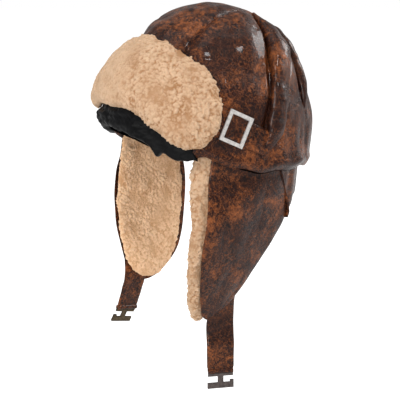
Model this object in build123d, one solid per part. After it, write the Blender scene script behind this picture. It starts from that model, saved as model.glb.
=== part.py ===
from build123d import *
from math import cos, radians, sin, sqrt
import os

# A trapper hat: a padded leather crown, a fleece front flap that stands up against it, two fleece-lined
# ear flaps that hang from its sides with a chin strap and a T hook each, and a short neck flap.
# Millimetres, +Z up, the front faces -Y, the wearer's left is +X, origin at the head opening's centre.

# Crown: a superellipse dome, longer front to back than it is wide. Its layers are turned round and then
# narrowed, so they are thinnest at the sides.
HALF_WIDTH = 98.0
HALF_LENGTH = 112.0
CENTRE_Y = 2.0
WIDEST_Z = 19.0
CROWN_RISE = 139.0
DOME_POWER = 2.1
LOWER_TAPER = 0.0006
LEATHER = 1.5
PADDING = 5.0
LINING = 1.3
LAYER_GAP = 0.3
WALL = LEATHER + PADDING + LINING + 2 * LAYER_GAP
SQUEEZE = HALF_WIDTH / HALF_LENGTH

# Lower edge of the crown seen from the side, as (y, z): high over the forehead, low at the nape.
LOWER_EDGE = [
    (-150, 52),
    (-112, 48),
    (-103, 36),
    (-96, 28),
    (-85, 22),
    (-62, 17),
    (-44, 12.5),
    (-13, 5.5),
    (13, 3.5),
    (58, -1),
    (90, -8),
    (150, -13),
]

# Crown panels: a centre strip that tapers to the back, and two seams down each side.
STRIP_HALF_WIDTH = 37.0
STRIP_TAPER = 0.1
SEAM_GAP = 0.3
SIDE_SEAM_Y = -22.0
SIDE_SEAM_SLOPE = 0.33
BACK_SEAM_Y = 60.0
BACK_SEAM_SLOPE = -0.1
ROLL_HEIGHT = 6.5
SIDE_ROLL_WIDTH = 11.0
BACK_ROLL_WIDTH = 9.0
SIDE_ROLL_BOTTOM = 42.0
BACK_ROLL_BOTTOM = 58.0

# Front flap, outside the crown with a running gap, and the black band under it.
BAND_THICKNESS = 2.5
BAND_HEIGHT = 15.0
BAND_BACK_Y = -58.0
BACKING_INNER = 4.3
BACKING_THICKNESS = 1.6
FRONT_FLEECE = 12.5
FRONT_FLAP_SIDE = [
    (-150, 74),
    (-126, 66),
    (-112, 46),
    (-103, 37),
    (-92, 30),
    (-80, 33),
    (-69, 48),
    (-64, 64),
    (-63, 84),
    (-66, 102),
    (-75, 117),
    (-86, 128),
    (-97, 133),
    (-150, 136),
]

# Ear flaps: leather outline seen from the side, as (y, z), without its top edge.
EAR_OUTLINE = [
    (-60, 26),
    (-66, 2),
    (-71, -30),
    (-72, -75),
    (-70, -105),
    (-64, -127),
    (-56, -143),
    (-45, -150),
    (-34, -147),
    (-20, -136),
    (-8, -122),
    (3, -105),
    (12, -88),
    (22, -74),
    (31, -60),
    (30, -45),
    (23, -21),
    (17, 0),
    (14, 26),
]
EAR_LEATHER = 2.0
EAR_FLEECE = 14.0
FLEECE_LIP = 7.0
FLEECE_DROP = 2.0
LEATHER_TOP_GAP = 1.8
FLEECE_TOP_GAP = 4.0

# Neck flap, sewn inside the crown's lower edge behind the ear flaps, as (y, z) along its lower edge.
NECK_LEATHER = 1.5
NECK_FLEECE = 10.5
NECK_OVERLAP = 8.0
NECK_INSET = 1.4
NECK_LOWER_EDGE = [(20, -64), (34, -58), (48, -47), (57, -38), (75, -33), (110, -31), (140, -31)]
NECK_GAP = 1.2

# Side strap and its buckle: direction of the strap over the crown, and where the buckle sits.
BUCKLE_Y = -43.0
BUCKLE_Z = 48.4
STRAP_RUN = (0.367, 0.827, -0.43)
SIDE_STRAP_WIDTH = 23.0
SIDE_STRAP_THICKNESS = 3.7
SIDE_STRAP_FRONT = 36.0
SIDE_STRAP_BACK = 46.0
BUCKLE_LENGTH = 24.0
BUCKLE_HEIGHT = 29.5
BUCKLE_BAR = 3.4
BUCKLE_THICKNESS = 1.8
BUCKLE_LIFT = 3.7
BUCKLE_SLIDE = 3.0
TONGUE_BAR_WIDTH = 2.0
TONGUE_BAR_LOW = 0.8
TONGUE_BAR_HIGH = 2.0

# Chin straps: centre of the top pivot, centre of the hook's bar, and the turn about the strap's own length.
LEFT_STRAP = {"side": 1, "top": (58.0, -31.5, -155.0), "bar": (66.0, -37.5, -213.0), "turn": 30.0}
RIGHT_STRAP = {"side": -1, "top": (-58.0, -58.0, -155.0), "bar": (-64.0, -67.5, -179.0), "turn": 0.0}
STRAP_WIDTH = 29.0
STRAP_END_WIDTH = 26.0
STRAP_THICKNESS = 2.4
STRAP_GAP = 1.4
ANCHOR_TOP_Z = -112.0

# T hook: a bar in the strap's end loop, a frame under it, a stem and a cross piece with a lug.
LOOP_WIDTH = 22.0
LOOP_RADIUS = 2.7
HOOK_BAR_RADIUS = 1.2
HOOK_CLEARANCE = 0.05
HOOK_THICKNESS = 2.0
HOOK_FRAME_WIDTH = 27.0
HOOK_CHEEK = 1.8
HOOK_RAIL_TOP = 3.2
HOOK_RAIL_BOTTOM = 5.8
STEM_WIDTH = 6.0
STEM_BOTTOM = 13.0
CROSS_WIDTH = 28.0
CROSS_BOTTOM = 19.0
LUG_WIDTH = 4.0
LUG_HEIGHT = 2.5


def lower_share(z):
    """How far in the crown's wall has drawn at a height under its widest line."""
    return 1 - LOWER_TAPER * (WIDEST_Z - z)


def dome_side(offset):
    """Points up the crown's side at its front, from under the rim to the top, moved outward by offset."""
    length = HALF_LENGTH + offset
    rise = CROWN_RISE + offset
    points = [(length * lower_share(-75), -75), (length * lower_share(-25), -25)]
    for step in range(6):
        angle = radians(15 * step)
        radius = length * cos(angle) ** (2 / DOME_POWER)
        height = WIDEST_Z + rise * sin(angle) ** (2 / DOME_POWER)
        points.append((radius, height))
    points.append((0, WIDEST_Z + rise))
    return points


def shell(outer, inner):
    """A layer of the crown between two offsets of its outer shape, still as wide as it is long."""
    out_side, in_side = dome_side(outer), dome_side(inner)
    tangents = [(0.04, 1), (-1, 0)]
    ends = Line(out_side[-1], in_side[-1]) + Line(in_side[0], out_side[0])
    rims = Spline(*out_side, tangents=tangents) + Spline(*in_side, tangents=tangents)
    turned = revolve(Plane.XZ * make_face(rims + ends), Axis.Z, 360)
    return Pos(0, CENTRE_Y, 0) * turned


def narrowed(shape):
    """Brings a piece of the round crown to the crown's real width."""
    return scale(shape, by=(SQUEEZE, 1, 1))


def side_prism(edges, width=200):
    """Extrudes a closed shape drawn in the side view across the whole hat."""
    return extrude(Plane.YZ * make_face(edges), amount=width, both=True)


def above_edge(lift):
    """Everything above the crown's lower edge, raised by lift."""
    points = [(y, z + lift) for y, z in LOWER_EDGE]
    rim = Spline(*points)
    rest = Polyline(points[-1], (150, 260), (-150, 260), points[0])
    return side_prism(rim + rest)


def side_region(front_y, front_slope, back_y, back_slope):
    """The part of space between two seam planes, each given as y at z = 0 and its slope."""
    low, high = -120, 260
    corners = [
        (front_y + front_slope * low, low),
        (back_y + back_slope * low, low),
        (back_y + back_slope * high, high),
        (front_y + front_slope * high, high),
    ]
    return side_prism(Polyline(*corners, close=True))


def strip_block(margin, squeeze=1.0):
    """The plan shape of the crown's centre strip grown by margin, from far below to far above."""
    front = (STRIP_HALF_WIDTH + STRIP_TAPER * 150 + margin) / squeeze
    back = (STRIP_HALF_WIDTH - STRIP_TAPER * 150 + margin) / squeeze
    outline = Polyline((-front, -150), (front, -150), (back, 150), (-back, 150), close=True)
    return Pos(0, 0, -120) * extrude(make_face(outline), amount=400)


def arch(x, offset):
    """The crown's outline at one distance from its middle, from the forehead over the top to the nape."""
    length = HALF_LENGTH + offset
    rise = CROWN_RISE + offset
    across = x / SQUEEZE
    points = []
    for step in range(13):
        angle = radians(5 + 14.17 * step)
        near, far = 0.0, 2 * rise
        for _ in range(50):
            middle = (near + far) / 2
            radius = sqrt(across ** 2 + (middle * cos(angle)) ** 2) / length
            height = middle * sin(angle) / rise
            if radius ** DOME_POWER + height ** DOME_POWER < 1:
                near = middle
            else:
                far = middle
        points.append((CENTRE_Y - near * cos(angle), WIDEST_Z + near * sin(angle)))
    for z in (-8, -30):
        points.append((CENTRE_Y + sqrt((length * lower_share(z)) ** 2 - across ** 2), z))
    return points


def strip_layer(outer, inner):
    """A layer of the centre strip, drawn through arches side by side."""
    sections = []
    for x in (-52, -26, 0, 26, 52):
        out_line, in_line = arch(x, outer), arch(x, inner)
        ends = Line(out_line[-1], in_line[-1]) + Line(in_line[0], out_line[0])
        section = Plane.YZ * make_face(Spline(*out_line) + Spline(*in_line) + ends)
        sections.append(Pos(x, 0, 0) * section)
    layer = loft(sections) & above_edge(0)
    return layer & strip_block(-SEAM_GAP / 2)


def side_layer(outer, inner):
    """A layer of the crown's left side, from the strip outward, still round."""
    return (shell(outer, inner) & above_edge(0) & half(1)) - strip_block(SEAM_GAP / 2, SQUEEZE)


def half(side):
    return Pos(side * 100, 0, 0) * Box(200, 400, 600)


def mirrored(shape):
    return mirror(shape, about=Plane.YZ)


def save(name, shape):
    export_step(shape, "parts/" + name + ".step")


def save_pair(name, shape):
    """Writes a left piece and its mirror image for the right."""
    save(name + "_left", shape)
    save(name + "_right", mirrored(shape))


def save_crown_piece(name, shape):
    save(name, narrowed(shape))


def save_crown_pair(name, shape):
    save_pair(name, narrowed(shape))


def seam_roll(front_y, slope, width, bottom):
    """The raised roll of leather along one seam."""
    run = side_region(front_y, slope, front_y + width, slope)
    roll = shell(ROLL_HEIGHT, LAYER_GAP) & run & Pos(0, 0, bottom + 150) * Box(400, 400, 300)
    return (roll & half(1)) - strip_block(SEAM_GAP, SQUEEZE)


def crown_leather():
    save("crown_centre_strip", strip_layer(0, -LEATHER))
    side = side_layer(0, -LEATHER)
    seam = SEAM_GAP / 2
    front = side_region(-400, 0, SIDE_SEAM_Y - seam, SIDE_SEAM_SLOPE)
    middle = side_region(SIDE_SEAM_Y + seam, SIDE_SEAM_SLOPE, BACK_SEAM_Y - seam, BACK_SEAM_SLOPE)
    back = side_region(BACK_SEAM_Y + seam, BACK_SEAM_SLOPE, 400, 0)
    save_crown_pair("crown_front_panel", side & front)
    save_crown_pair("crown_side_panel", side & middle)
    save_crown_pair("crown_back_panel", side & back)
    roll = seam_roll(SIDE_SEAM_Y, SIDE_SEAM_SLOPE, SIDE_ROLL_WIDTH, SIDE_ROLL_BOTTOM)
    save_crown_pair("side_seam_roll", roll)
    roll = seam_roll(BACK_SEAM_Y, BACK_SEAM_SLOPE, BACK_ROLL_WIDTH, BACK_ROLL_BOTTOM)
    save_crown_pair("back_seam_roll", roll)


def crown_inside():
    """The wadding and the quilted lining, each cut as a centre strip and two sides."""
    padding_top = -LEATHER - LAYER_GAP
    lining_top = padding_top - PADDING - LAYER_GAP
    save("crown_padding_centre", strip_layer(padding_top, padding_top - PADDING))
    save_crown_pair("crown_padding", side_layer(padding_top, padding_top - PADDING))
    save("crown_lining_centre", strip_layer(lining_top, lining_top - LINING))
    save_crown_pair("crown_lining", side_layer(lining_top, lining_top - LINING))


def front_flap():
    band = shell(BAND_THICKNESS, LAYER_GAP) & (above_edge(0) - above_edge(BAND_HEIGHT))
    save_crown_piece("front_facing_band", band & side_region(-400, 0, BAND_BACK_Y, 0))
    rim = Polyline(FRONT_FLAP_SIDE[-1], FRONT_FLAP_SIDE[0])
    outline = side_prism(Spline(*FRONT_FLAP_SIDE) + rim)
    fleece_inner = BACKING_INNER + BACKING_THICKNESS + LAYER_GAP
    save_crown_piece("front_flap_backing", shell(fleece_inner - LAYER_GAP, BACKING_INNER) & outline)
    save_crown_piece("front_flap_fleece", shell(fleece_inner + FRONT_FLEECE, fleece_inner) & outline)


def smooth_step(value):
    value = min(max(value, 0.0), 1.0)
    return value * value * (3 - 2 * value)


def ear_flap_x(y, z):
    """How far out the left ear flap's leather lies: along the crown at its top, curling in below."""
    top = 93.5 - 0.004 * (y - 2) ** 2
    low = 90.0 - (y + 22) ** 2 / 700 - 0.00125 * z ** 2
    share = smooth_step((10 - z) / 60)
    return (1 - share) * top + share * low


def flap_slab(outer, inner):
    """A layer of the left ear flap between two depths under its leather's surface."""
    across = [-95, -60, -22, 15, 50]
    sections = []
    for z in (32, 5, -25, -60, -95, -130, -162):
        out_line = [(ear_flap_x(y, z) - outer, y) for y in across]
        in_line = [(ear_flap_x(y, z) - inner, y) for y in across]
        ends = Line(out_line[-1], in_line[-1]) + Line(in_line[0], out_line[0])
        sections.append(Pos(0, 0, z) * make_face(Spline(*out_line) + Spline(*in_line) + ends))
    return loft(sections)


def ear_outline(lip, drop):
    """The flap's side outline; lip moves its front edge forward and drop lowers its end."""
    points = []
    for y, z in EAR_OUTLINE:
        forward = lip * smooth_step((-30 - y) / 20)
        down = drop * smooth_step((-100 - z) / 40)
        points.append((y - forward, z - down))
    return side_prism(Spline(*points) + Line(points[-1], points[0]))


def strap_up(strap):
    return (Vector(*strap["top"]) - Vector(*strap["bar"])).normalized()


def strap_across(strap):
    """The level way across a chin strap, square to its run."""
    turn = radians(strap["turn"])
    across = Vector(sin(turn), cos(turn), 0) * strap["side"]
    up = strap_up(strap)
    return (across - up * across.dot(up)).normalized()


def strap_anchor(strap, margin):
    """The sewn-in top of a chin strap, between the leather and the fleece, grown by margin."""
    y = strap["top"][1]
    bottom = strap["top"][2] + STRAP_GAP - margin
    reach = STRAP_WIDTH / 2 + margin
    top = ANCHOR_TOP_Z + margin
    across = strap_across(strap)
    lean = reach * across.Z / across.Y
    corners = [(y - reach, bottom - lean), (y + reach, bottom + lean), (y + reach, top), (y - reach, top)]
    outline = Polyline(*corners, close=True)
    outer = EAR_LEATHER + LAYER_GAP
    return flap_slab(outer - 2 * margin, outer + STRAP_THICKNESS + margin) & side_prism(outline)


def ear_flap(name, strap):
    leather = (flap_slab(0, EAR_LEATHER) & ear_outline(0, 0)) - above_edge(-LEATHER_TOP_GAP)
    anchor = strap_anchor(strap, 0)
    deep = flap_slab(EAR_LEATHER + LAYER_GAP, EAR_LEATHER + LAYER_GAP + EAR_FLEECE)
    fleece = (deep & ear_outline(FLEECE_LIP, FLEECE_DROP)) - above_edge(-FLEECE_TOP_GAP)
    fleece = fleece - strap_anchor(strap, LAYER_GAP)
    pieces = {"ear_flap_shell": leather, "ear_flap_fleece": fleece, "strap_anchor": anchor}
    for piece, shape in pieces.items():
        save(name + "_" + piece, shape if strap["side"] > 0 else mirrored(shape))


def neck_flap():
    """A short leather band with its fleece, from one ear flap's back edge round to the other's."""
    crease = [(y + NECK_GAP, z) for y, z in EAR_OUTLINE if y >= 14 and z >= -61]
    crease.sort(key=lambda point: point[1])
    front = Polyline((crease[0][0], -120), *crease, (crease[-1][0], 60))
    behind = side_prism(front + Polyline((crease[-1][0], 60), (200, 60), (200, -120), (crease[0][0], -120)))
    lower = Spline(*NECK_LOWER_EDGE)
    first, last = NECK_LOWER_EDGE[0], NECK_LOWER_EDGE[-1]
    below = side_prism(lower + Polyline(last, (last[0], -150), (first[0], -150), first))
    room = (behind - above_edge(NECK_OVERLAP)) - below
    outer = -WALL - NECK_INSET
    save_crown_piece("neck_flap_shell", shell(outer, outer - NECK_LEATHER) & room)
    outer = outer - NECK_LEATHER - LAYER_GAP
    save_crown_piece("neck_flap_fleece", shell(outer, outer - NECK_FLEECE) & room)


def crown_point(y, z):
    """The point of the crown's left side at y and z, and the outward direction there."""
    rise = ((z - WIDEST_Z) / CROWN_RISE) ** DOME_POWER
    radius = (1 - rise) ** (1 / DOME_POWER)
    along = (y - CENTRE_Y) / HALF_LENGTH
    x = HALF_WIDTH * sqrt(radius ** 2 - along ** 2)
    spread = radius ** (DOME_POWER - 2)
    up = ((z - WIDEST_Z) / CROWN_RISE) ** (DOME_POWER - 1) / CROWN_RISE
    normal = Vector(spread * x / HALF_WIDTH ** 2, spread * along / HALF_LENGTH, up)
    return Vector(x, y, z), normal.normalized()


def side_strap_and_buckle():
    centre, normal = crown_point(BUCKLE_Y, BUCKLE_Z)
    run = Vector(*STRAP_RUN)
    run = (run - normal * run.dot(normal)).normalized()
    place = Plane(origin=centre, x_dir=run, z_dir=normal).location
    length = SIDE_STRAP_FRONT + SIDE_STRAP_BACK
    middle = (SIDE_STRAP_BACK - SIDE_STRAP_FRONT) / 2
    slab = place * Pos(middle, 0, 0) * Box(length, SIDE_STRAP_WIDTH, 60)
    patch = shell(SIDE_STRAP_THICKNESS, LAYER_GAP) & side_region(-90, 0, SIDE_SEAM_Y, SIDE_SEAM_SLOPE)
    strap = narrowed(patch & half(1)) & slab
    pocket = 2 * (TONGUE_BAR_WIDTH / 2 + BUCKLE_SLIDE + 0.4)
    pocket_top = TONGUE_BAR_HIGH + 0.3
    strap = strap - place * Pos(0, 0, pocket_top - 5) * Box(pocket, 40, 10)
    save_pair("side_strap", strap)
    frame = Box(BUCKLE_LENGTH, BUCKLE_HEIGHT, BUCKLE_THICKNESS)
    frame = frame - Box(BUCKLE_LENGTH - 2 * BUCKLE_BAR, BUCKLE_HEIGHT - 2 * BUCKLE_BAR, 10)
    frame = Pos(0, 0, BUCKLE_LIFT + BUCKLE_THICKNESS / 2) * frame
    bar_height = TONGUE_BAR_HIGH - TONGUE_BAR_LOW
    bar = Pos(0, 0, TONGUE_BAR_LOW + bar_height / 2) * Box(TONGUE_BAR_WIDTH, BUCKLE_HEIGHT, bar_height)
    post_width = (BUCKLE_HEIGHT - SIDE_STRAP_WIDTH) / 2 - 0.6
    post_top = BUCKLE_LIFT + 0.5
    post_height = post_top - TONGUE_BAR_LOW
    buckle = frame + bar
    for end in (-1, 1):
        y = end * (BUCKLE_HEIGHT - post_width) / 2
        post = Pos(0, y, TONGUE_BAR_LOW + post_height / 2) * Box(TONGUE_BAR_WIDTH, post_width, post_height)
        buckle = buckle + post
    save_pair("buckle", place * buckle)


def strap_place(strap, point):
    """A frame at a point of a chin strap: x across it, y up along it, z out of its face."""
    across = strap_across(strap)
    return Plane(origin=Vector(*strap[point]), x_dir=across, z_dir=across.cross(strap_up(strap))).location


def chin_strap(name, strap):
    length = (Vector(*strap["top"]) - Vector(*strap["bar"])).length
    wide, narrow, neck = STRAP_WIDTH / 2, STRAP_END_WIDTH / 2, LOOP_WIDTH / 2
    right = [(wide, length - STRAP_GAP), (narrow, 7), (neck, 5), (neck, 0)]
    left = [(-x, y) for x, y in reversed(right)]
    body = extrude(make_face(Polyline(*right, *left, close=True)), amount=STRAP_THICKNESS / 2, both=True)
    loop = Rot(0, 90, 0) * Cylinder(LOOP_RADIUS, LOOP_WIDTH)
    hole = Rot(0, 90, 0) * Cylinder(HOOK_BAR_RADIUS + HOOK_CLEARANCE, LOOP_WIDTH + 10)
    save(name + "_chin_strap", strap_place(strap, "bar") * (body + loop - hole))


def block(left, right, bottom, top):
    """A flat piece of the hook, given by its sides and its depths below the bar."""
    return Pos((left + right) / 2, (bottom + top) / 2, 0) * Box(right - left, top - bottom, HOOK_THICKNESS)


def hook(name, strap):
    bar = Rot(0, 90, 0) * Cylinder(HOOK_BAR_RADIUS, HOOK_FRAME_WIDTH)
    half_frame = HOOK_FRAME_WIDTH / 2
    shape = bar + block(-half_frame, half_frame, -HOOK_RAIL_BOTTOM, -HOOK_RAIL_TOP)
    for end in (-1, 1):
        inner, outer = end * (half_frame - HOOK_CHEEK), end * half_frame
        shape = shape + block(min(inner, outer), max(inner, outer), -HOOK_RAIL_BOTTOM, 1.4)
    shape = shape + block(-STEM_WIDTH / 2, STEM_WIDTH / 2, -STEM_BOTTOM - 1, -HOOK_RAIL_BOTTOM + 1)
    half_cross = CROSS_WIDTH / 2
    shape = shape + block(-half_cross, half_cross, -CROSS_BOTTOM, -STEM_BOTTOM)
    lug = block(half_cross - LUG_WIDTH, half_cross, -STEM_BOTTOM - 1, -STEM_BOTTOM + LUG_HEIGHT)
    save(name + "_hook", strap_place(strap, "bar") * (shape + lug))


crown_leather()
crown_inside()
front_flap()
neck_flap()
side_strap_and_buckle()
for side_name, side_strap in {"left": LEFT_STRAP, "right": RIGHT_STRAP}.items():
    ear_flap(side_name, side_strap)
    chin_strap(side_name, side_strap)
    hook(side_name, side_strap)
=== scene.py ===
import math

import bpy
import numpy as np
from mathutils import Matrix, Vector, noise


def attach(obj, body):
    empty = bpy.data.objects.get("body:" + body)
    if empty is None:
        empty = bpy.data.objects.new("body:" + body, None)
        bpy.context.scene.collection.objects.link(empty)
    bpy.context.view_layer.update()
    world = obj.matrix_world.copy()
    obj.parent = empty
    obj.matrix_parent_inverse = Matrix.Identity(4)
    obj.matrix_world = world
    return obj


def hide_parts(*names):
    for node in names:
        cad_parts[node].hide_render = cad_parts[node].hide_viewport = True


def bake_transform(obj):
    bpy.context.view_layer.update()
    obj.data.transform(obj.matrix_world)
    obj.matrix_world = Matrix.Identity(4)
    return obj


# The looks of a trapper hat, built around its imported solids. Shapes are worked out in millimetres in the
# row frame (+Z up, front at -Y, wearer's left at +X) and scaled to metres when a mesh is made.

MM = 0.001
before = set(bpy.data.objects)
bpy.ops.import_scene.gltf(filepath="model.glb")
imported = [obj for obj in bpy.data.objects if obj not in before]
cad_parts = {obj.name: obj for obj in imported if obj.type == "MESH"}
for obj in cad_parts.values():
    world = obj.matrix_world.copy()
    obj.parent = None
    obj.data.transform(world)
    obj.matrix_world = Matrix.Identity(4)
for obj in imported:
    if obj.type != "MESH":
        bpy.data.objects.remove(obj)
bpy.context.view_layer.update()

# Crown, as in the solids: a dome whose sections are ovals, a little squarer than ellipses.
HALF_WIDTH = 98.0
HALF_LENGTH = 112.0
CENTRE_Y = 2.0
WIDEST_Z = 19.0
RISE = 139.0
POWER = 2.1
LOWER_TAPER = 0.0006
# Its lower edge, as how far back and height.
LOWER_EDGE = np.array(
    [(-150, 52), (-112, 48), (-103, 36), (-96, 28), (-85, 22), (-62, 17), (-44, 12.5), (-13, 5.5), (13, 3.5),
     (58, -1), (90, -8), (150, -13)], float)
# Each seam's plane: how far back it stands at height 0, and how much it leans back for each unit up.
SIDE_SEAM = (-22.0, 0.33)
BACK_SEAM = (60.0, -0.1)
# The centre strip's half width at the crown's middle, and how much it narrows towards the back.
STRIP_HALF = 37.0
STRIP_TAPER = 0.1
# How far out of the crown's face they lie: lining, neck flap, and the front flap's pile and satin.
LINING_OFFSET = -7.4
NECK_OFFSET = -9.5
PILE_OFFSET = 6.0
BACKING_OFFSET = 5.4
# Where the buckle sits on the left side; the leather lies flatter round it.
BUCKLE_SPOT = (88.0, -43.0, 48.0)
BUCKLE_FLAT = 32.0

# Padded pieces: mesh size, cloth pressure and cloth frames.
PAD_VOXEL = 3.6
PAD_PRESSURE = 4.0
CLOTH_FRAMES = 20
CLOTH_MASS = 0.25
WELD_DISTANCE = 0.00005
# Curl sizes of the pile: ear flaps and neck flap, and front flap.
INNER_CURL = 4.8
FRONT_CURL = 4.2


# ---- shape helpers ----


def smooth_curve(points, amounts):
    """A smooth curve through points, read at amounts from 0 to 1 of the way along them."""
    points = np.asarray(points, float)
    steps = np.linalg.norm(np.diff(points, axis=0), axis=1)
    at = np.concatenate([[0], np.cumsum(steps)])
    at /= at[-1]
    slopes = np.gradient(points, at, axis=0)
    amounts = np.clip(np.asarray(amounts, float), 0, 1)
    i = np.clip(np.searchsorted(at, amounts, side="right") - 1, 0, len(at) - 2)
    span = (at[i + 1] - at[i])[..., None]
    s = ((amounts - at[i]) / (at[i + 1] - at[i]))[..., None]
    a, b = points[i], points[i + 1]
    h = s * s * (3 - 2 * s)
    bend = slopes[i] * span * s * (1 - s) ** 2 - slopes[i + 1] * span * s * s * (1 - s)
    return a * (1 - h) + b * h + bend


def step(value):
    """0 up to 0, 1 from 1 on, and a smooth rise between."""
    value = np.clip(value, 0, 1)
    return value * value * (3 - 2 * value)


def bump(value, width):
    return np.exp(-((value / width) ** 2))


def eased(count):
    """0 to 1 in count steps, closer together at both ends."""
    return (1 - np.cos(np.linspace(0, math.pi, count))) / 2


def unit(vectors):
    return vectors / np.linalg.norm(vectors, axis=-1)[..., None]


def waves(points, size, seed, octaves=3, count=18):
    """Smooth noise of about -1 to 1 at each point, with bumps about size millimetres across."""
    rng = np.random.default_rng(seed)
    shape = points.shape[:-1]
    flat = points.reshape(-1, 3)
    total = np.zeros(len(flat))
    weight, weights = 1.0, 0.0
    for _ in range(octaves):
        k = unit(rng.normal(size=(count, 3)))
        k *= (math.pi / size) * rng.uniform(0.7, 1.35, (count, 1))
        phase = rng.uniform(0, 2 * math.pi, count)
        total += weight * np.sin(flat @ k.T + phase).sum(1) / math.sqrt(count / 2)
        weights += weight
        size /= 2
        weight /= 2
    return (total / weights).reshape(shape)


def lower_edge(y):
    return np.interp(y, *smooth_curve(LOWER_EDGE, np.linspace(0, 1, 400)).T)


# How much higher the forehead edge is pulled up on the wearer's right, by angle round the crown.
RIM_PULL = np.array(
    [(-62, 0), (-55, 4), (-47, 12), (-38, 18), (-30, 17), (-20, 10), (-10, 3), (0, 0)], float)
# The leather alone is also cut a little higher at the left temple, over the ear flap's front.
TEMPLE_PULL = np.array([(40, 0), (46, 4), (51, 6.5), (56, 3.5), (61, 0)], float)


def rim_height(points):
    """The height of the crown's edge above or below points."""
    sideways = points[..., 0] / HALF_WIDTH
    forward = -(points[..., 1] - CENTRE_Y) / HALF_LENGTH
    angle = np.degrees(np.arctan2(sideways, forward))
    pull = np.interp(angle, *RIM_PULL.T, left=0, right=0)
    pull = pull + np.interp(angle, *TEMPLE_PULL.T, left=0, right=0)
    scallop = 1.1 * np.sin(points[..., 1] * 0.16 + 1.0) * step((np.abs(angle) - 60) / 15)
    return lower_edge(points[..., 1]) + pull + scallop


def settle_rim(angles, offset, first=20.0):
    """The height of the crown's edge at each angle, at an offset."""
    rim = np.full(len(angles), first)
    for _ in range(16):
        rim = 0.5 * rim + 0.5 * rim_height(crown_at(angles, rim, offset))
    return rim


def crown_radius(z, offset):
    """The crown's radius as a share of its widest, at a height and an offset."""
    high = np.clip((z - WIDEST_Z) / (RISE + offset), 0, 1)
    above = (1 - high**POWER) ** (1 / POWER)
    return np.where(z > WIDEST_Z, above, 1 - LOWER_TAPER * (WIDEST_Z - z))


def crown_at(angle, z, offset=0.0):
    """A point on the crown at an angle round it (0 in front, left positive) and a height."""
    share = crown_radius(z, offset)
    squeeze = HALF_WIDTH / HALF_LENGTH
    length = HALF_LENGTH + offset
    x = squeeze * length * share * np.sin(angle)
    y = CENTRE_Y - length * share * np.cos(angle)
    return np.stack([x, y, z + 0 * x], -1)


def crown_side(y, z):
    """Points on the crown's left side at how far back and how high they are."""
    share = crown_radius(z, 0.0)
    inside = np.clip(share**2 - ((y - CENTRE_Y) / HALF_LENGTH) ** 2, 0.01, None)
    return np.stack([HALF_WIDTH * np.sqrt(inside), y, z], -1)


def dome_heights(rim, rise, share, gap):
    """Heights from the crown's edge at each angle up to just short of its top, at shares of the way."""
    start = np.where(
        rim > WIDEST_Z,
        np.arcsin(np.clip((rim - WIDEST_Z) / RISE, 0, 1) ** (POWER / 2)),
        (rim - WIDEST_Z) / RISE,
    )
    turn = start[:, None] + (math.pi / 2 - gap - start[:, None]) * share[None]
    high = WIDEST_Z + rise * np.sin(np.clip(turn, 0, None)) ** (2 / POWER)
    return np.where(turn > 0, high, WIDEST_Z + RISE * turn)


def crown_normal(points):
    """The way out of the crown at points on or near it."""
    x, y = points[..., 0] / HALF_WIDTH, (points[..., 1] - CENTRE_Y) / HALF_LENGTH
    share = np.maximum(np.sqrt(x * x + y * y), 1e-6)
    high = np.clip((points[..., 2] - WIDEST_Z) / RISE, 0, None)
    across = share ** (POWER - 2) * x / HALF_WIDTH
    along = share ** (POWER - 2) * y / HALF_LENGTH
    return unit(np.stack([across, along, high ** (POWER - 1) / RISE], -1))


def mesh_object(name, points, faces, material):
    """A smooth mesh of one material, from points in millimetres."""
    mesh = bpy.data.meshes.new(name)
    mesh.from_pydata((np.asarray(points).reshape(-1, 3) * MM).tolist(), [], faces)
    mesh.update()
    obj = bpy.data.objects.new(name, mesh)
    bpy.context.scene.collection.objects.link(obj)
    mesh.polygons.foreach_set("use_smooth", [True] * len(mesh.polygons))
    mesh.materials.append(material)
    return obj


def grid_faces(rows, columns, first=0, flip=False, wrap=False):
    """Quads of a grid of rows by columns points, counted from first; wrap joins the last row to row 0."""
    steps = rows if wrap else rows - 1
    i, j = np.meshgrid(np.arange(steps), np.arange(columns - 1), indexing="ij")
    a = first + i * columns + j
    b = first + ((i + 1) % rows) * columns + j
    quads = np.stack([a, b, b + 1, a + 1], -1).reshape(-1, 4)
    return (quads[:, ::-1] if flip else quads).tolist()


def closed_pad(outer, inner):
    """Points and faces of a closed piece between two grids that have the same border order."""
    rows, columns = outer.shape[:2]
    count = rows * columns
    points = np.concatenate([outer.reshape(-1, 3), inner.reshape(-1, 3)])
    faces = grid_faces(rows, columns) + grid_faces(rows, columns, count, flip=True)
    place = np.arange(count).reshape(rows, columns)
    ring = np.concatenate([place[0], place[1:, -1], place[-1, -2::-1], place[-2:0:-1, 0]]).tolist()
    faces += [[a, b, b + count, a + count] for a, b in zip(ring, ring[1:] + ring[:1])]
    return points, faces


def pad_object(name, inner, outer, material):
    return mesh_object(name, *closed_pad(inner, outer), material)


def wear(piece, body, looks, *nodes):
    """Fix a piece to its body and hide the solids it stands for; looks is not used."""
    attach(piece, body)
    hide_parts(*nodes)


def sided_pad(name, outer, inner, sign, material):
    """A closed piece of the left side of the hat, or its twin on the right where sign is -1."""
    if sign > 0:
        return pad_object(name, inner, outer, material)
    return pad_object(name, mirror_grid(outer), mirror_grid(inner), material)


def settled(obj):
    """The object's mesh with its modifiers applied, and no modifiers left."""
    graph = bpy.context.evaluated_depsgraph_get()
    mesh = bpy.data.meshes.new_from_object(obj.evaluated_get(graph))
    obj.modifiers.clear()
    old = obj.data
    obj.data = mesh
    bpy.data.meshes.remove(old)


def mesh_points(obj):
    """The mesh's points in millimetres."""
    flat = np.empty(len(obj.data.vertices) * 3)
    obj.data.vertices.foreach_get("co", flat)
    return flat.reshape(-1, 3) / MM


def place_points(obj, points):
    obj.data.vertices.foreach_set("co", (points * MM).ravel())
    obj.data.update()


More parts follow.
